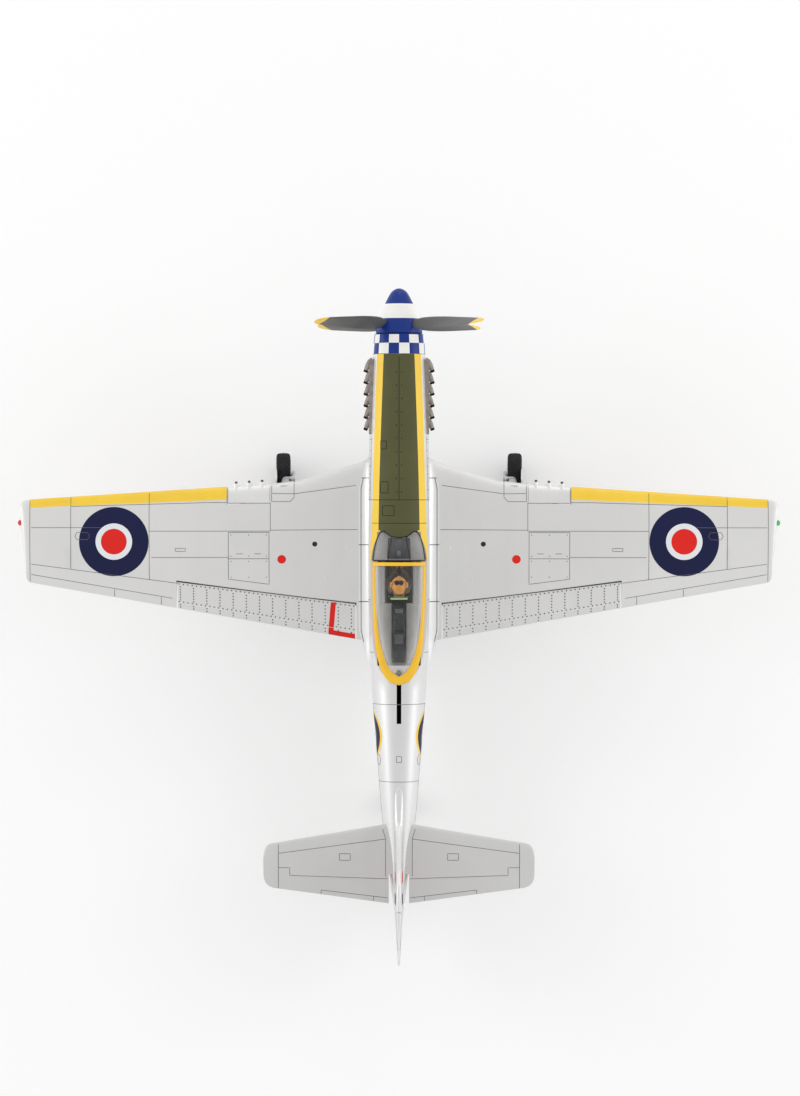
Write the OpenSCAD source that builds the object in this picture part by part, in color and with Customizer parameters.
// Low-wing propeller fighter, a 1:48 die-cast display model standing on its wheels.
// Every piece is drawn in aircraft axes and then set down by stance():
// x to starboard, y forward with 0 at the spinner tip, z up from the thrust line.
// A station is a distance aft of the spinner tip, so station s lies at y = -s.

/* [Wing] */
// Span over the tip lights
span = 235; // [230:1:240]
// Chord at the centreline, without the root extension
root_chord = 51.9; // [50:0.1:54]
// Sweep of the leading edge in degrees
le_sweep = 3.74; // [3:0.02:4.5]
// Forward sweep of the trailing edge in degrees
te_sweep = 10.06; // [9.5:0.02:10.5]
// Dihedral of each wing in degrees
dihedral = 5; // [4:0.1:6]
// Incidence at the root in degrees
root_incidence = 1; // [0:0.1:2]
// Incidence at the tip in degrees
tip_incidence = -0.8; // [-1.5:0.1:0.5]
// Drop of the wing's centre plane below the thrust line
wing_drop = 12.6; // [12.4:0.1:12.8]

/* [Fuselage] */
// Thickness of the cast shell
wall = 1.3; // [1:0.1:1.5]
// Height of the cockpit sill above the thrust line
sill_z = 9; // [8.8:0.1:9.2]

/* [Propeller] */
// Radius of the propeller disc
prop_r = 35.4; // [32:0.2:38]
// Radius of the spinner at its base
spinner_r = 6.8; // [6.5:0.1:7]
// Radius of the shaft
shaft_r = 1; // [0.8:0.05:1.2]
// Radial running clearance of the shaft in its bush
shaft_clearance = 0.04; // [0.02:0.01:0.08]

/* [Landing gear] */
// Distance between the main wheels
track = 73; // [72:0.5:74]
// Radius of a main tyre
wheel_r = 7.15; // [6.8:0.05:7.2]
// Width of a main tyre
wheel_w = 4.5; // [4:0.1:4.6]
// Length of a leg from its pivot to the axle
leg_length = 26.6; // [26.2:0.1:26.8]
// Forward rake of a leg in degrees
leg_rake = 10; // [9:0.5:11]
// Outward lean of a leg in degrees
leg_lean = 2; // [1.5:0.1:2.5]
// Angle through which a leg folds inboard
fold_angle = 86.5; // [80:0.5:87]
// Radius of the tail tyre
tail_wheel_r = 3.3; // [3:0.1:3.5]

/* [Canopy] */
// Travel of the sliding canopy
canopy_travel = 11.5; // [8:0.5:11.5]

/* [Stand] */
// Bore radius of the display stand socket
socket_r = 1.6; // [1.2:0.1:2]
// Depth of the socket bore
socket_depth = 6; // [5:0.5:6.5]

/* [Hidden] */
$fn = 48;
// Thickness of one slice of a hull chain
sliver = 0.02;
// Clearance between pieces that sit together
seat = 0.05;
body_sides = 32;
foil_steps = 14;

silver = "#c4c7ca";
wing_grey = "#b9bcc0";
yellow = "#f2c23c";
blue = "#2d4a9c";
black = "#26272a";
clear = "#cfdfe6";
steel = "#8d9094";

// Body shape: station, half width, crown, keel
body_rows = [
  [12.8, 6.9, 6.9, -8.4], [15, 7.2, 7.4, -9.4], [20, 7.6, 8.1, -10.6], [30, 8, 9, -12.2],
  [45, 8.5, 10, -14], [58, 8.9, 10.6, -15.2], [72, 9.1, 11.6, -15.8], [82, 9.1, 17, -15.8],
  [96, 9, 17, -15.6], [106, 8.7, 15.5, -15], [113, 8.4, 12.5, -14.2], [120, 8.1, 9.05, -13.4],
  [135, 6.9, 8.6, -11.8], [150, 5.9, 8, -10.2], [163, 4.8, 7.2, -8], [177, 3.2, 6.2, -5.4],
  [187, 1.8, 5.2, -3.4]
];
cavity_end = 172;
deck_z = 10;
windscreen_s = 72.8;
canopy_s = 82.4;
canopy_end = 120;
sill_end = 113.5;
cockpit_half = 6.6;
slot_start = 116.7;
slot_half = 0.7;

// Scoop shape: station, half width, top, bottom
scoop_rows = [
  [88, 5, -11, -22.4], [94, 5.7, -11, -23.6], [108, 6.2, -9, -23.4], [120, 6.1, -8, -21.4],
  [135, 5.3, -8, -17.4], [148, 4.4, -8, -12.6]
];
scoop_wall = 1;

// Wing layout
light_r = 0.7;
half_span = span / 2 - light_r;
le_root = 56;
te_root = le_root + root_chord;
tip_block = 3.4;
cuff_rows = [[0, 6.7], [8.8, 6.7], [11.6, 5], [30.7, 0.4], [38.7, 0]];
depth_rows = [[0, 8.4], [11.6, 8], [38.7, 6.6], [half_span - tip_block, 2.8],
  [half_span - 1.3, 2], [half_span, 0.9]];
tip_rows = [[half_span - tip_block, 0], [half_span - 1.3, 1.1], [half_span, 4]];
wing_stations = [0, 8.8, 11.6, 20, 30.7, 38.7, 64, 90, half_span - tip_block, half_span - 1.3, half_span];
edge_half = 0.12;
camber = 0.012;

function wing_le(x) = le_root + x * tan(le_sweep) - lookup(x, cuff_rows) + lookup(x, tip_rows);
function wing_te(x) = te_root - x * tan(te_sweep) - 0.8 * lookup(x, tip_rows);
function chord(x) = wing_te(x) - wing_le(x);
function incidence(x) = root_incidence + (tip_incidence - root_incidence) * x / half_span;
function wing_mid(x) = x * tan(dihedral) - wing_drop;
function foil(u) =
  5 * (0.2969 * sqrt(u) - 0.126 * u - 0.3516 * u * u + 0.2843 * pow(u, 3) - 0.1036 * pow(u, 4));
function mean_z(x, u) =
  wing_mid(x) + (0.25 - u) * chord(x) * tan(incidence(x)) + camber * chord(x) * 4 * u * (1 - u);
function half_depth(x, u) = max(edge_half, lookup(x, depth_rows) * foil(u));
function chord_part(x, s) = (s - wing_le(x)) / chord(x);
function wing_top(x, s) = let(u = chord_part(x, s)) mean_z(x, u) + half_depth(x, u);
function cosine(i) = (1 - cos(180 * i / foil_steps)) / 2;

// Wing details
gun_in = 39.8;
gun_out = 53.1;
gun_depth = 5.6;
gun_stations = [42.3, 46.3, 50.3];
flap_in = 13.2;
flap_out = 68.6;
flap_in_s = 95.85;
flap_out_s = 88.9;
flap_rod_r = 0.5;
screw_x = 4;
screw_stations = [80, 98];
socket_s = 73.5;
fairing_x = 12.4;

// Gear layout in the frame of a leg: pivot at 0, leg along -z, outboard +x, pin along y
strut_offset = 0.6;
axle_s = 56;
pivot_x = track / 2 - leg_length * sin(leg_lean) - strut_offset;
pivot_s = axle_s + leg_length * sin(leg_rake);
pivot_z = -9.85;
pin_r = 0.7;
barrel_r = 1.25;
barrel_end = 13;
piston_r = 0.85;
crown_z = leg_length - wheel_r - 0.6;
hub_r = 4.2;
axle_r = 0.6;
arm_in = wheel_w / 2 + 0.3 - strut_offset;
tail_s = 157.5;
tail_z = -18.6;
tail_hub_r = 1.7;
tail_w = 2.6;

// Stance: the tail drops until all three tyres touch the ground
axle_z = pivot_z - leg_length * cos(leg_rake) * cos(leg_lean);
axle_run = tail_s - axle_s;
axle_rise = tail_z - axle_z;
ground_angle = atan(axle_rise / axle_run) + asin((wheel_r - tail_wheel_r) / norm([axle_run, axle_rise]));
ground_z = -axle_s * sin(ground_angle) + axle_z * cos(ground_angle) - wheel_r;
rudder_end = 205.5;
rudder_stations = [-3, -1, 4, 9.5, 15, 22, 27, 30, 31.3];
function rudder_te(z) = lookup(z, [[-3, 195], [-1, 200], [4, 204.2], [9.5, rudder_end], [15, 205.2],
  [22, 203], [27, 199.6], [30, 195.5], [31.3, 190]]);
tail_y = min([for (z = rudder_stations) -rudder_te(z) * cos(ground_angle) - z * sin(ground_angle)]);

// Placing
module stance() {
  translate([0, -tail_y / 2, -ground_z]) rotate([ground_angle, 0, 0]) children();
}

module side(left) {
  mirror([left ? 1 : 0, 0, 0]) children();
}

module at(x, s, z) {
  translate([x, -s, z]) children();
}

// A box between two stations, symmetric about the centre plane
module bay(half, s1, s2, z1, z2) {
  translate([-half, -s2, z1]) cube([2 * half, s2 - s1, z2 - z1]);
}

// A round bar from p to q
module bar(p, q, r1, r2) {
  d = q - p;
  translate(p)
    rotate([0, acos(d.z / norm(d)), atan2(d.y, d.x)])
      cylinder(h = norm(d), r1 = r1, r2 = r2);
}

// Slices across the body, the wing and the fin
module body_slice(s, points) {
  translate([0, -s, 0]) rotate([90, 0, 0]) linear_extrude(sliver) polygon(points);
}

module wing_slice(x, points) {
  translate([x, 0, 0]) rotate([90, 0, 90]) linear_extrude(sliver) polygon(points);
}

function bend(v, e) = sign(v) * pow(abs(v), e);
function egg(half, top, bottom, e = 0.85) = let(mid = 0.54 * top + 0.46 * bottom) [
  for (i = [0 : body_sides - 1]) let(a = 360 * i / body_sides)
    [half * bend(cos(a), e), mid + (sin(a) > 0 ? top - mid : mid - bottom) * bend(sin(a), e)]
];

// Skin through egg-shaped rows, drawn in by an inset
module egg_skin(rows, inset = 0) {
  for (i = [0 : len(rows) - 2])
    hull()
      for (r = [rows[i], rows[i + 1]])
        body_slice(r[0], egg(r[1] - inset, r[2] - inset, r[3] + inset));
}

function foil_outline(x, grow) = concat(
  [for (i = [0 : foil_steps]) let(u = cosine(i))
    [-wing_le(x) - u * chord(x), mean_z(x, u) + half_depth(x, u) + grow]],
  [for (i = [foil_steps : -1 : 0]) let(u = cosine(i))
    [-wing_le(x) - u * chord(x), mean_z(x, u) - half_depth(x, u) - grow]]
);

// The starboard wing as one solid, without its cut-outs
module wing_solid(grow = 0) {
  for (i = [0 : len(wing_stations) - 2])
    hull()
      for (x = [wing_stations[i], wing_stations[i + 1]])
        wing_slice(x, foil_outline(x, grow));
}

module both_wings(grow) {
  for (left = [true, false]) side(left) wing_solid(grow);
}

// A prism over a plan outline given as x and station
module plan_prism(points) {
  translate([0, 0, -40]) linear_extrude(80) polygon([for (p = points) [p[0], -p[1]]]);
}

// Cut-outs that the folding gear needs, in the frame of the starboard leg
module leg_frame(fold = 0) {
  at(pivot_x, pivot_s, pivot_z) rotate([leg_rake, 0, 0]) rotate([0, fold - leg_lean, 0]) children();
}

module gear_well() {
  slot_clear = barrel_r + 0.3;
  swing_clear = barrel_r + 0.45;
  swing_steps = 16;
  link_start = 11.4;
  reach = 16;
  bay_r = wheel_r + 0.6;
  bay_bevel = 1.3;
  bay_top = wheel_w / 2 - strut_offset + 0.3;
  arm_top = arm_in + 1.45;
  leg_frame(fold_angle) {
    translate([-bay_top, 0, -leg_length]) rotate([0, 90, 0]) rotate_extrude()
      polygon([[0, 0], [bay_r - bay_bevel, 0], [bay_r, bay_bevel], [bay_r, reach], [0, reach]]);
    translate([0.15 - arm_top, 0, -leg_length]) rotate([0, 90, 0]) cylinder(h = reach, r = 1.8);
    translate([2.3, -3.8, -22.6]) cube([reach, 7.6, 18.7]);
    rotate([90, 0, 0]) linear_extrude(2 * slot_clear, center = true) {
      for (i = [0 : swing_steps])
        rotate(fold_angle * i / swing_steps)
          translate([-swing_clear, -leg_length]) square([2 * swing_clear, leg_length + swing_clear]);
      polygon([
        [-1.9, -link_start],
        [0.1 - arm_top, -14.8],
        [-arm_top, -17],
        [-arm_top, -leg_length],
        [reach, -leg_length],
        [reach, -link_start]
      ]);
    }
  }
}

// Fuselage halves
fairing_stations = [52, 56, 60, 68, 78, 90, 104, 112, 118];
function fairing_reach(s) =
  lookup(s, [[52, 10.3], [60, fairing_x], [104, fairing_x], [112, 10.2], [118, 7.6]]);
fairing_edge = 0.4;
function fairing_points(s) = let(reach = fairing_reach(s), inner = 6.4, top = wing_top(reach, s))
  [[inner, top + 3.4], [reach, top + fairing_edge], [reach, top - 0.3], [inner, top - 0.9]];

module fairing() {
  for (i = [0 : len(fairing_stations) - 2])
    hull()
      for (s = [fairing_stations[i], fairing_stations[i + 1]])
        body_slice(s, fairing_points(s));
}

function cavity_rows() = concat(
  [[12, 6.9, 6.9, -8.4]],
  [for (r = body_rows) if (r[0] < cavity_end) r]
);

module cockpit_cut() {
  bay(12, windscreen_s, canopy_s, deck_z, 30);
  bay(12, canopy_s - 0.45, canopy_end + 3, sill_z, 30);
  bay(cockpit_half, canopy_s + 0.4, sill_end, 0, 30);
  bay(slot_half, slot_start, slot_start + canopy_travel + 3.6, 0, 30);
}

module exhaust_window() {
  translate([5, -43.5, 0.85]) cube([6, 23, 2.7]);
}

module fuselage_half(left) {
  color(silver) side(left) difference() {
    intersection() {
      union() {
        egg_skin(body_rows);
        fairing();
      }
      translate([0, -300, -60]) cube([60, 320, 120]);
    }
    egg_skin(cavity_rows(), wall);
    wing_solid(seat);
    gear_well();
    cockpit_cut();
    exhaust_window();
    stab_solid(seat);
    tail_post(0.95);
  }
}

module fuselage_left() { stance() fuselage_half(true); }
module fuselage_right() { stance() fuselage_half(false); }

// Wings
function hinge_s(x) = flap_in_s + (flap_out_s - flap_in_s) * (x - flap_in) / (flap_out - flap_in);
function hinge_u(x) = chord_part(x, hinge_s(x));
function hinge_point(x) = [x, -hinge_s(x), mean_z(x, hinge_u(x))];
function hinge_r(x) = half_depth(x, hinge_u(x)) - 0.03;
hinge_a = hinge_point(flap_in);
hinge_b = hinge_point(flap_out);
hinge_dir = (hinge_b - hinge_a) / norm(hinge_b - hinge_a);
rod_reach = 2;
flap_gap = 0.2;

module hinge_bar(r1, r2, over) {
  bar(hinge_a - over * hinge_dir, hinge_b + over * hinge_dir, r1, r2);
}

module flap_region(inset, behind = 0) {
  plan_prism([
    [flap_in + inset, hinge_s(flap_in + inset) + behind],
    [flap_out - inset, hinge_s(flap_out - inset) + behind],
    [flap_out - inset, te_root + 5], [flap_in + inset, te_root + 5]
  ]);
}

module gun_region(inset) {
  plan_prism([
    [gun_in + inset, le_root - 5], [gun_out - inset, le_root - 5],
    [gun_out - inset, wing_le(gun_out) + gun_depth - inset],
    [gun_in + inset, wing_le(gun_in) + gun_depth - inset]
  ]);
}

function wing_bottom(x, s) = let(u = chord_part(x, s)) mean_z(x, u) - half_depth(x, u);
screw_r = 0.7;
screw_head_r = 1.5;
screw_sink = 0.4;
floor_z = -6.2;
floor_thick = 1.2;

module screw_places() {
  for (s = screw_stations) at(screw_x, s, wing_bottom(screw_x, s)) children();
}

module wing_casting(left) {
  $fn = 24;
  color(wing_grey) side(left) difference() {
    wing_solid();
    gear_well();
    flap_region(0);
    hinge_bar(hinge_r(flap_in) + flap_gap, hinge_r(flap_out) + flap_gap, 0);
    hinge_bar(flap_rod_r + 0.1, flap_rod_r + 0.1, rod_reach + 0.2);
    gun_region(0);
    for (x = gun_stations) gun_barrel(x, 0.1);
    at(0, socket_s, -30) cylinder(h = 40, r = 2.65);
    screw_places() translate([0, 0, -2]) {
      cylinder(h = 20, r = screw_r + 0.1);
      cylinder(h = 2 + screw_sink + 1, r = screw_head_r + 0.1);
    }
    leg_frame() leg_pin_bar(pin_r + 0.02);
  }
}

module wing_left() { stance() wing_casting(true); }
module wing_right() { stance() wing_casting(false); }

// Belly scoop and the radiator behind its mouth
scoop_mouth = [[87.9, 5, -11, -22.4], [94, 5.7, -11, -23.6], [100, 5.9, -10, -23.5]];

module radiator_scoop() {
  stance() color(silver) difference() {
    egg_skin(scoop_rows);
    egg_skin(scoop_mouth, scoop_wall);
    both_wings(seat);
    egg_skin(body_rows, -seat);
  }
}

module radiator_core() {
  stance() color(black) difference() {
    intersection() {
      egg_skin(scoop_mouth, scoop_wall + seat);
      bay(12, 98.6, 99.9, -40, 0);
    }
    both_wings(seat);
    egg_skin(body_rows, -seat);
  }
}

// Tail
stab_stations = [0.5, 6, 12, 18, 24, 30, 35, 38.5, 40, 40.9, 41.5];
stab_z = 4.6;
function stab_le(x) = lookup(x, [[0, 162], [38.9, 168.6], [40, 169], [40.9, 170], [41.5, 172.4]]);
function stab_te(x) = lookup(x, [[0, 187.4], [38.4, 182.3], [40, 181.6], [40.9, 180.5], [41.5, 178]]);
function stab_depth(x) = lookup(x, [[0, 2.8], [38, 1.5], [41.5, 0.7]]);
function stab_half(x, u) = max(edge_half, stab_depth(x) * foil(u));
function stab_outline(x, grow) = let(c = stab_te(x) - stab_le(x)) concat(
  [for (i = [0 : foil_steps]) [-stab_le(x) - cosine(i) * c, stab_z + stab_half(x, cosine(i)) + grow]],
  [for (i = [foil_steps : -1 : 0]) [-stab_le(x) - cosine(i) * c, stab_z - stab_half(x, cosine(i)) - grow]]
);

module stab_solid(grow = 0) {
  elevator_in = 3.1;
  difference() {
    for (i = [0 : len(stab_stations) - 2])
      hull()
        for (x = [stab_stations[i], stab_stations[i + 1]])
          wing_slice(x, stab_outline(x, grow));
    bay(elevator_in - grow, 178, 200, 0, 10);
  }
}

module stabilizer_left() { stance() color(wing_grey) side(true) stab_solid(); }
module stabilizer_right() { stance() color(wing_grey) stab_solid(); }

rudder_s = 187;
fin_stations = [4, 8, 9.6, 12, 17, 22, 26, 29, 30.6, 31.3];
fin_le_rows = [[4, 150], [8, 151], [9.6, 161], [12, 164.5], [29, 178.5], [30.6, 181.5], [31.3, 184]];
function fin_le(z) = lookup(z, fin_le_rows);
function fin_half(z) = lookup(z, [[-3.4, 1.2], [0, 1.7], [4, 1.45], [9, 1.25], [31.3, 0.65]]);
module fin_slice(z, points) {
  translate([0, 0, z]) linear_extrude(sliver) polygon([for (p = points) [p[0], -p[1]]]);
}

function fin_points(z) = let(h = fin_half(z), le = fin_le(z)) [
  [0, le], [0.6 * h, le + 0.8], [h, le + 3], [h, rudder_s - 0.1],
  [-h, rudder_s - 0.1], [-h, le + 3], [-0.6 * h, le + 0.8]
];
function rudder_points(z) = let(h = fin_half(z), edge = 0.2) [
  [h, rudder_s + 0.1], [edge, rudder_te(z)], [-edge, rudder_te(z)], [-h, rudder_s + 0.1]
];

module tail_fin() {
  stance() color(silver) difference() {
    for (i = [0 : len(fin_stations) - 2])
      hull()
        for (z = [fin_stations[i], fin_stations[i + 1]])
          fin_slice(z, fin_points(z));
    egg_skin(body_rows, -seat);
    for (left = [true, false]) side(left) stab_solid(seat);
  }
}

module rudder() {
  stance() color(silver)
    for (i = [0 : len(rudder_stations) - 2])
      hull()
        for (z = [rudder_stations[i], rudder_stations[i + 1]])
          fin_slice(z, rudder_points(z));
}

tail_top = [0, -152, -6];
tail_crown = [0, -tail_s + 0.5, -14];

module tail_post(r) {
  bar(tail_top, tail_crown, r, r);
}

module tail_strut() {
  arm = tail_w / 2 + 0.3;
  stance() color(steel) {
    tail_post(0.9);
    translate(tail_crown + [-arm - 0.6, -1, -0.8]) cube([2 * arm + 1.2, 2, 1]);
    for (x = [-arm - 0.6, arm])
      translate([x, -tail_s - 0.4, tail_z]) cube([0.6, 1.2, tail_crown.z - tail_z]);
    at(-arm - 0.6, tail_s, tail_z) rotate([0, 90, 0]) cylinder(h = 2 * arm + 1.2, r = 0.5);
  }
}

// A wheel's tyre and hub, with the axle along x and the centre at 0
module tyre_ring(r, bore, width) {
  round = min(width, r - bore) * 0.42;
  rotate([0, 90, 0]) rotate_extrude()
    translate([bore, -width / 2])
      hull() {
        square([0.3, width]);
        for (y = [round, width - round]) translate([r - bore - round, y]) circle(r = round);
      }
}

module hub_disc(r, bore, width) {
  rotate([0, 90, 0]) difference() {
    cylinder(h = width, r = r, center = true);
    translate([0, 0, width / 2 - 0.5]) difference() {
      cylinder(h = 1, r = r - 0.6);
      cylinder(h = 1, r = bore + 0.7);
    }
    cylinder(h = width + 1, r = bore, center = true);
  }
}

module tail_tyre() {
  stance() color(black) at(0, tail_s, tail_z) tyre_ring(tail_wheel_r, tail_hub_r, tail_w);
}

module tail_hub() {
  stance() color(silver) at(0, tail_s, tail_z) hub_disc(tail_hub_r, 0.55, 2.2);
}

// Nose and propeller, turning about the thrust line
backplate_s = 11.8;
spinner_base = 12.4;
blade_s = 9.6;
blade_turn = 45;

module axial(s1, s2, r) {
  at(0, s2, 0) rotate([-90, 0, 0]) cylinder(h = s2 - s1, r = r);
}

module nose_plate() {
  stance() color(black) difference() {
    axial(14, 16, 5.6);
    axial(13, 17, 2);
  }
}

module prop_bush() {
  stance() color("#b89a55") difference() {
    axial(13.4, 21.8, 2);
    axial(13, 22, shaft_r + shaft_clearance);
  }
}

module prop_shaft() {
  stance() color(steel) axial(7, 24.4, shaft_r);
}

module shaft_collar() {
  stance() color(steel) difference() {
    axial(22.1, 23.6, 2.2);
    axial(22, 24, shaft_r);
  }
}

module spinner_backplate() {
  stance() color(blue) difference() {
    axial(backplate_s, spinner_base, spinner_r - 0.1);
    axial(11, 13, shaft_r);
  }
}

function spinner_at(s) = spinner_r * pow(s / spinner_base, 0.55);

module spinner() {
  shell = 0.7;
  steps = 16;
  reach = backplate_s - seat;
  outer = [for (i = [0 : steps]) let(s = reach * pow(i / steps, 1.6)) [spinner_at(s), -s]];
  inner = [for (i = [steps : -1 : 4]) let(s = reach * pow(i / steps, 1.6)) [spinner_at(s) - shell, -s]];
  stance() color(blue) difference() {
    rotate([-90, 0, 0]) rotate_extrude() polygon(concat(outer, inner, [[0, -3]]));
    for (i = [0 : 3]) at(0, blade_s, 0) rotate([0, blade_turn + 90 * i, 0]) cylinder(h = 9, r = 1.5);
  }
}

// Blade shape: part of the radius, chord, thickness, pitch
blade_rows = [
  [0.07, 2.2, 2, 60], [0.155, 2.4, 1.8, 58], [0.25, 4.2, 1.3, 52], [0.4, 5.6, 1, 46], [0.56, 6.2, 0.8, 41],
  [0.73, 6.1, 0.7, 37], [0.88, 5.4, 0.6, 34], [0.96, 4, 0.5, 32], [1, 1.6, 0.4, 31]
];

module blade() {
  for (i = [0 : len(blade_rows) - 2])
    hull()
      for (r = [blade_rows[i], blade_rows[i + 1]])
        translate([0, 0, r[0] * prop_r - sliver]) rotate([0, 0, r[3]]) linear_extrude(sliver)
          polygon([for (a = [0 : 30 : 330]) [r[1] / 2 * cos(a), r[2] / 2 * sin(a)]]);
}

module propeller() {
  stance() color(black) difference() {
    union() {
      axial(7.8, 11.6, 3);
      for (i = [0 : 3]) at(0, blade_s, 0) rotate([0, blade_turn + 90 * i, 0]) blade();
    }
    axial(7, 12, shaft_r + 0.05);
  }
}

// Cockpit
module boss_places() {
  for (left = [true, false])
    side(left)
      for (s = screw_stations) at(screw_x, s, 0) children();
}

module cockpit_tub() {
  half = 6.1;
  side_wall = 0.6;
  boss_r = 1.6;
  stance() color("#5c6b52") difference() {
    union() {
      bay(half, 75, 114, floor_z - floor_thick, floor_z);
      for (x = [-half, half - side_wall]) translate([x, -113, floor_z]) cube([side_wall, 31, 13]);
      bay(half, 113.2, 114, floor_z, 7);
      for (left = [true, false])
        side(left)
          for (s = screw_stations) {
            base = wing_top(screw_x + boss_r, s - boss_r) + seat;
            at(screw_x, s, base) cylinder(h = floor_z - base, r = boss_r);
          }
    }
    boss_places() translate([0, 0, -20]) cylinder(h = floor_z - 0.3 + 20, r = screw_r);
  }
}

module instrument_panel() {
  stance() color(black) {
    hull() {
      bay(3, 76.4, 76.8, deck_z, deck_z + 0.8);
      bay(4.2, 81, 81.4, deck_z, deck_z + 2.6);
    }
  }
}

module gunsight() {
  stance() color(steel) {
    bay(0.5, 79.2, 80.4, deck_z + 2.4, deck_z + 3.2);
    bay(0.7, 79.6, 79.8, deck_z + 2.9, deck_z + 3.8);
  }
}

module pilot_seat() {
  stance() color("#4f5a48") {
    bay(1.5, 88, 91, floor_z, -3);
    bay(3.4, 86, 93, -3, -2);
    bay(3.4, 93, 93.8, -3, 6);
  }
}

module armour_plate() {
  stance() color("#a8b890") {
    bay(2.6, 94.2, 95, floor_z, 13.2);
    bay(1.4, 93.6, 94.2, 9.4, 12.2);
  }
}

module limb(p, q, r) {
  hull() {
    translate(p) sphere(r = r, $fn = 12);
    translate(q) sphere(r = r, $fn = 12);
  }
}

module pilot_figure() {
  stance() color("#8a6f4a") {
    limb([0, -90.6, -0.1], [0, -90.9, 5.8], 1.8);
    limb([0, -90.7, 8], [0, -90.6, 10.5], 0.9);
    translate([0, -90.3, 12.4]) sphere(r = 2.25, $fn = 16);
    for (left = [true, false])
      side(left) {
        limb([0.5, -90.9, 6.9], [2.4, -90.9, 6.7], 1.2);
        limb([2.4, -90.9, 6.7], [3.2, -88.3, 2.8], 0.9);
        limb([3.2, -88.3, 2.8], [1, -84.2, 1.4], 0.75);
        limb([1.4, -89.6, -0.8], [1.9, -83, 1], 1.1);
        limb([1.9, -83, 1], [1.7, -79, -4], 0.85);
      }
  }
}

module radio_deck() {
  stance() color(black) {
    bay(1.2, 103, 106, floor_z, 0.8);
    bay(5.45, 95.4, 113, 0.8, 1.8);
    bay(2, 95.4, 112.4, 1.8, 9.4);
  }
}

// Windscreen
screen_half = 7.9;
screen_top = 16.2;
function arch(half, base, top) = [
  for (i = [0 : 12]) let(a = 15 * i) [half * bend(cos(a), 0.8), base + (top - base) * bend(sin(a), 0.8)]
];

module screen_form(inset) {
  front = 3.2;
  hull() {
    body_slice(82 - sliver, arch(screen_half - inset, deck_z + 0.05, screen_top - inset));
    translate([inset - front, -windscreen_s - 0.4 - 1.6 * inset, deck_z + 0.05])
      cube([2 * (front - inset), sliver, sliver]);
  }
}

module screen_bars(r) {
  for (x = [-1, 1]) bar([3.1 * x, -73.7, deck_z + 0.4], [4.6 * x, -81.4, 15.3], r, r);
}

module windscreen_frame() {
  stance() color(yellow) {
    difference() {
      screen_form(0);
      screen_form(0.8);
      bay(12, 70, 81, 0, 30);
    }
    screen_bars(0.4);
  }
}

module windscreen_glass() {
  stance() color(clear, 0.35) difference() {
    screen_form(0);
    screen_form(0.5);
    bay(12, 80.95, 90, 0, 30);
    screen_bars(0.45);
  }
}

// Sliding canopy
canopy_base = sill_z + 0.25;
rim_top = canopy_base + 1.2;
bow_end = canopy_s + 1.4;
tail_start = 116;
canopy_rows = [
  [canopy_s, 8.1, 16.3], [88, 8.15, 17], [95, 8, 17.2], [103, 7.6, 16.7], [109, 7.1, 15.6],
  [114, 6, 13.8], [117, 4.6, 12.2], [119, 2.9, 10.9], [canopy_end, 1.3, 10]
];

module canopy_form(inset) {
  for (i = [0 : len(canopy_rows) - 2])
    hull()
      for (r = [canopy_rows[i], canopy_rows[i + 1]])
        body_slice(r[0], arch(
          max(0.3, r[1] - inset), canopy_base - inset * 0.2, max(canopy_base + 0.3, r[2] - inset)));
}

module canopy_trim() {
  bay(12, bow_end, canopy_end + 1, rim_top, 30);
}

module canopy_frame() {
  stance() color(yellow) difference() {
    canopy_form(0);
    intersection() {
      canopy_form(1.2);
      bay(12, canopy_s - 1, tail_start, 0, 30);
    }
    canopy_trim();
    bay(12, canopy_s - 1, tail_start, 0, canopy_base);
  }
}

module canopy_glass() {
  stance() color(clear, 0.35) difference() {
    canopy_form(0);
    canopy_form(0.55);
    bay(12, canopy_s - 1, bow_end, 0, 30);
    bay(12, canopy_s - 1, canopy_end + 1, 0, rim_top);
  }
}

module canopy_runner() {
  stance() color(steel) {
    bay(0.55, 117, 119.5, 7.1, canopy_base);
    bay(1.5, 117, 119.5, 6.5, 7.2);
  }
}

// Exhausts, guns and lights
exhaust_z = 2.2;

module exhaust_stack(left) {
  color("#6b5d50") side(left) {
    translate([6.2, -43.4, 0.9]) cube([2.1, 22.8, 2.6]);
    for (i = [0 : 5])
      let(s = 23 + 3.55 * i)
        bar([7.9, -s, exhaust_z], [10.3, -s - 2.1, exhaust_z - 0.2], 1, 0.85);
  }
}

module exhaust_left() { stance() exhaust_stack(true); }
module exhaust_right() { stance() exhaust_stack(false); }

function gun_z(x) = mean_z(x, 0.01);
module gun_barrel(x, grow) {
  at(x, wing_le(x) + 3 + grow, gun_z(x)) rotate([-90, 0, 0]) cylinder(h = 4.4 + grow, r = 0.42 + grow);
}

module gun_insert(left) {
  $fn = 20;
  color(silver) side(left) difference() {
    union() {
      intersection() {
        wing_solid();
        gun_region(0.12);
      }
      for (x = gun_stations)
        hull() {
          at(x, wing_le(x) - 0.2, gun_z(x)) sphere(r = 0.85, $fn = 12);
          at(x, wing_le(x) + 4.2, gun_z(x) + 0.6) sphere(r = 0.7, $fn = 12);
        }
    }
    for (x = gun_stations) gun_barrel(x, 0.05);
  }
}

module gun_insert_left() { stance() gun_insert(true); }
module gun_insert_right() { stance() gun_insert(false); }

module gun_barrels() {
  stance() color(black)
    for (left = [true, false])
      side(left)
        for (x = gun_stations) gun_barrel(x, 0);
}

module tip_light(left) {
  light_s = 70;
  side(left) intersection() {
    at(half_span, light_s, mean_z(half_span, 0.2)) sphere(r = light_r);
    translate([half_span + sliver, -100, -30]) cube([5, 60, 60]);
  }
}

module tip_light_left() { stance() color("red") tip_light(true); }
module tip_light_right() { stance() color("green") tip_light(false); }

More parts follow.
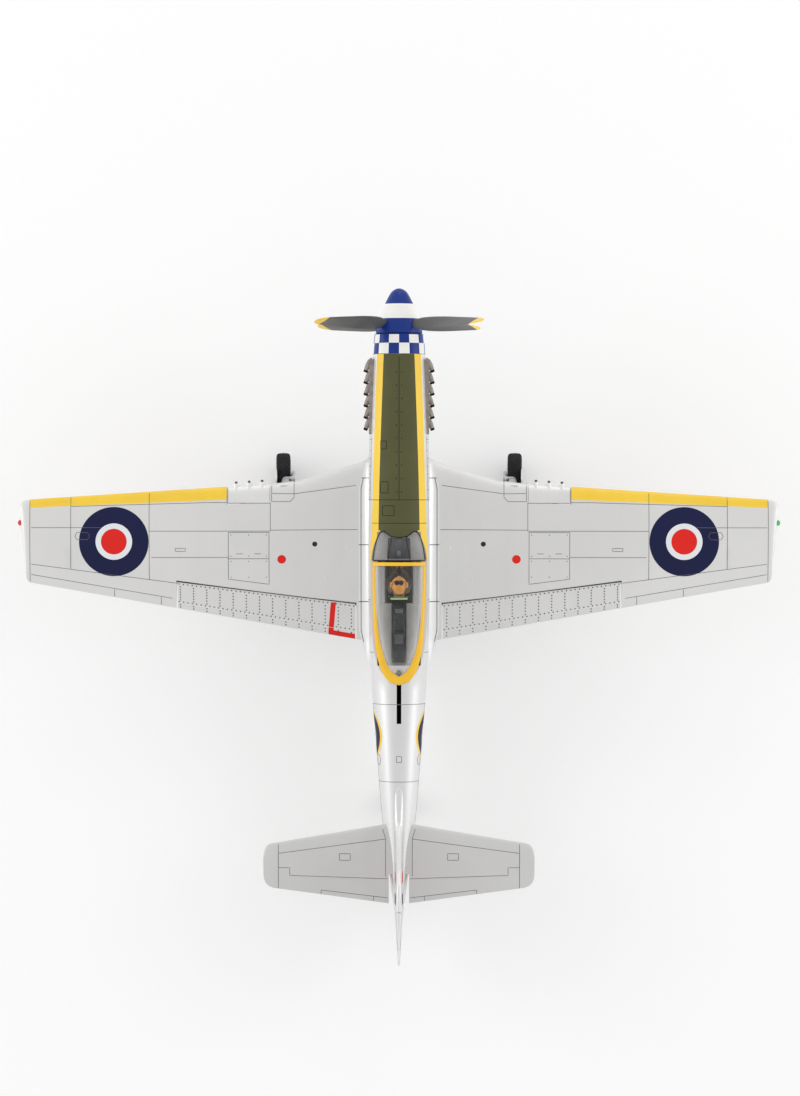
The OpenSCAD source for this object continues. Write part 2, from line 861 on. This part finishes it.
// Stand socket, screws and gear
module stand_socket() {
  base = wing_bottom(0.5, socket_s) + 0.1;
  stance() color(steel) at(0, socket_s, base) difference() {
    cylinder(h = socket_depth + 1.2, r = 2.6);
    translate([0, 0, -1]) cylinder(h = socket_depth + 1, r = socket_r);
  }
}

module screws() {
  stance() color(steel)
    for (left = [true, false])
      side(left)
        for (s = screw_stations) {
          base = wing_bottom(screw_x, s) + screw_sink;
          at(screw_x, s, base) {
            cylinder(h = 0.9, r = screw_head_r);
            cylinder(h = wing_top(screw_x, s) + 1.2 - base, r = screw_r - seat);
          }
        }
}

module leg_pin_bar(r) {
  translate([0, 2, 0]) rotate([90, 0, 0]) cylinder(h = 5.5, r = r);
}

module leg_pin_left() { stance() color(steel) side(true) leg_frame() leg_pin_bar(pin_r); }
module leg_pin_right() { stance() color(steel) leg_frame() leg_pin_bar(pin_r); }

module leg_barrel(left) {
  color(silver) side(left) leg_frame() difference() {
    union() {
      rotate([90, 0, 0]) cylinder(h = 2.6, r = 1.5, center = true);
      translate([0, 0, -barrel_end]) cylinder(h = barrel_end - 0.5, r = barrel_r);
    }
    leg_pin_bar(pin_r + seat);
    translate([0, 0, -barrel_end - 1]) cylinder(h = 6, r = piston_r + 0.02);
  }
}

module leg_piston(left) {
  arm_out = arm_in + 1;
  axle_end = strut_offset + wheel_w / 2 - 0.2;
  color(steel) side(left) leg_frame() {
    translate([0, 0, -crown_z]) cylinder(h = crown_z - barrel_end + 4.8, r = piston_r);
    translate([-arm_out, -1.1, -crown_z - 0.1]) cube([arm_out + 0.9, 2.2, 1.4]);
    translate([-arm_out, -1.1, -leg_length]) cube([1, 2.2, leg_length - crown_z + 0.5]);
    translate([-arm_out, 0, -leg_length]) rotate([0, 90, 0]) cylinder(h = 1, r = 1.4);
    translate([-arm_out, 0, -leg_length]) rotate([0, 90, 0]) cylinder(h = arm_out + axle_end, r = axle_r);
    translate([axle_end - 0.4, 0, -leg_length]) rotate([0, 90, 0]) cylinder(h = 0.4, r = 1.1);
  }
}

module torque_link(left) {
  color(steel) side(left) leg_frame() {
    hull() {
      translate([-1.6, -0.7, -barrel_end + 0.4]) cube([0.35, 1.4, 1]);
      translate([-2.8, -0.4, -15.8]) cube([0.5, 0.8, 0.6]);
    }
    hull() {
      translate([-2.8, -0.4, -15.8]) cube([0.5, 0.8, 0.6]);
      translate([-1.6, -0.7, -crown_z + 1.35]) cube([0.6, 1.4, 0.3]);
    }
  }
}

module leg_door(left) {
  color(silver) side(left) leg_frame() difference() {
    union() {
      translate([2.9, -3.2, -22]) cube([0.5, 6.4, 17.8]);
      for (z = [-7, -11]) translate([0, -0.5, z]) cube([3, 1, 0.8]);
    }
    translate([0, 0, -barrel_end]) cylinder(h = barrel_end, r = barrel_r);
  }
}

module main_tyre(left) {
  color(black) side(left) leg_frame()
    translate([strut_offset, 0, -leg_length]) tyre_ring(wheel_r, hub_r, wheel_w);
}

module main_hub(left) {
  color(silver) side(left) leg_frame()
    translate([strut_offset, 0, -leg_length]) hub_disc(hub_r, axle_r + seat, 3);
}

module leg_barrel_left() { stance() leg_barrel(true); }
module leg_barrel_right() { stance() leg_barrel(false); }
module leg_piston_left() { stance() leg_piston(true); }
module leg_piston_right() { stance() leg_piston(false); }
module torque_link_left() { stance() torque_link(true); }
module torque_link_right() { stance() torque_link(false); }
module leg_door_left() { stance() leg_door(true); }
module leg_door_right() { stance() leg_door(false); }
module tyre_left() { stance() main_tyre(true); }
module tyre_right() { stance() main_tyre(false); }
module hub_left() { stance() main_hub(true); }
module hub_right() { stance() main_hub(false); }

// Flaps
module flap(left) {
  end_gap = 0.35;
  color(wing_grey) side(left) difference() {
    union() {
      intersection() {
        wing_solid();
        flap_region(end_gap, 0.3);
      }
      hinge_bar(hinge_r(flap_in), hinge_r(flap_out), -end_gap - 0.5);
    }
    hinge_bar(flap_rod_r + 0.02, flap_rod_r + 0.02, rod_reach);
  }
}

module flap_left() { stance() flap(true); }
module flap_right() { stance() flap(false); }
module flap_rod_left() { stance() color(steel) side(true) hinge_bar(flap_rod_r, flap_rod_r, rod_reach); }
module flap_rod_right() { stance() color(steel) hinge_bar(flap_rod_r, flap_rod_r, rod_reach); }

fuselage_left();
fuselage_right();
wing_left();
wing_right();
radiator_scoop();
radiator_core();
stabilizer_left();
stabilizer_right();
tail_fin();
rudder();
nose_plate();
prop_bush();
cockpit_tub();
instrument_panel();
gunsight();
pilot_seat();
armour_plate();
pilot_figure();
radio_deck();
windscreen_frame();
windscreen_glass();
exhaust_left();
exhaust_right();
gun_insert_left();
gun_insert_right();
gun_barrels();
tip_light_left();
tip_light_right();
stand_socket();
screws();
leg_pin_left();
leg_pin_right();
tail_strut();
spinner();
spinner_backplate();
propeller();
prop_shaft();
shaft_collar();
canopy_frame();
canopy_glass();
canopy_runner();
leg_barrel_left();
leg_barrel_right();
leg_piston_left();
leg_piston_right();
torque_link_left();
torque_link_right();
leg_door_left();
leg_door_right();
tyre_left();
tyre_right();
hub_left();
hub_right();
tail_tyre();
tail_hub();
flap_left();
flap_right();
flap_rod_left();
flap_rod_right();
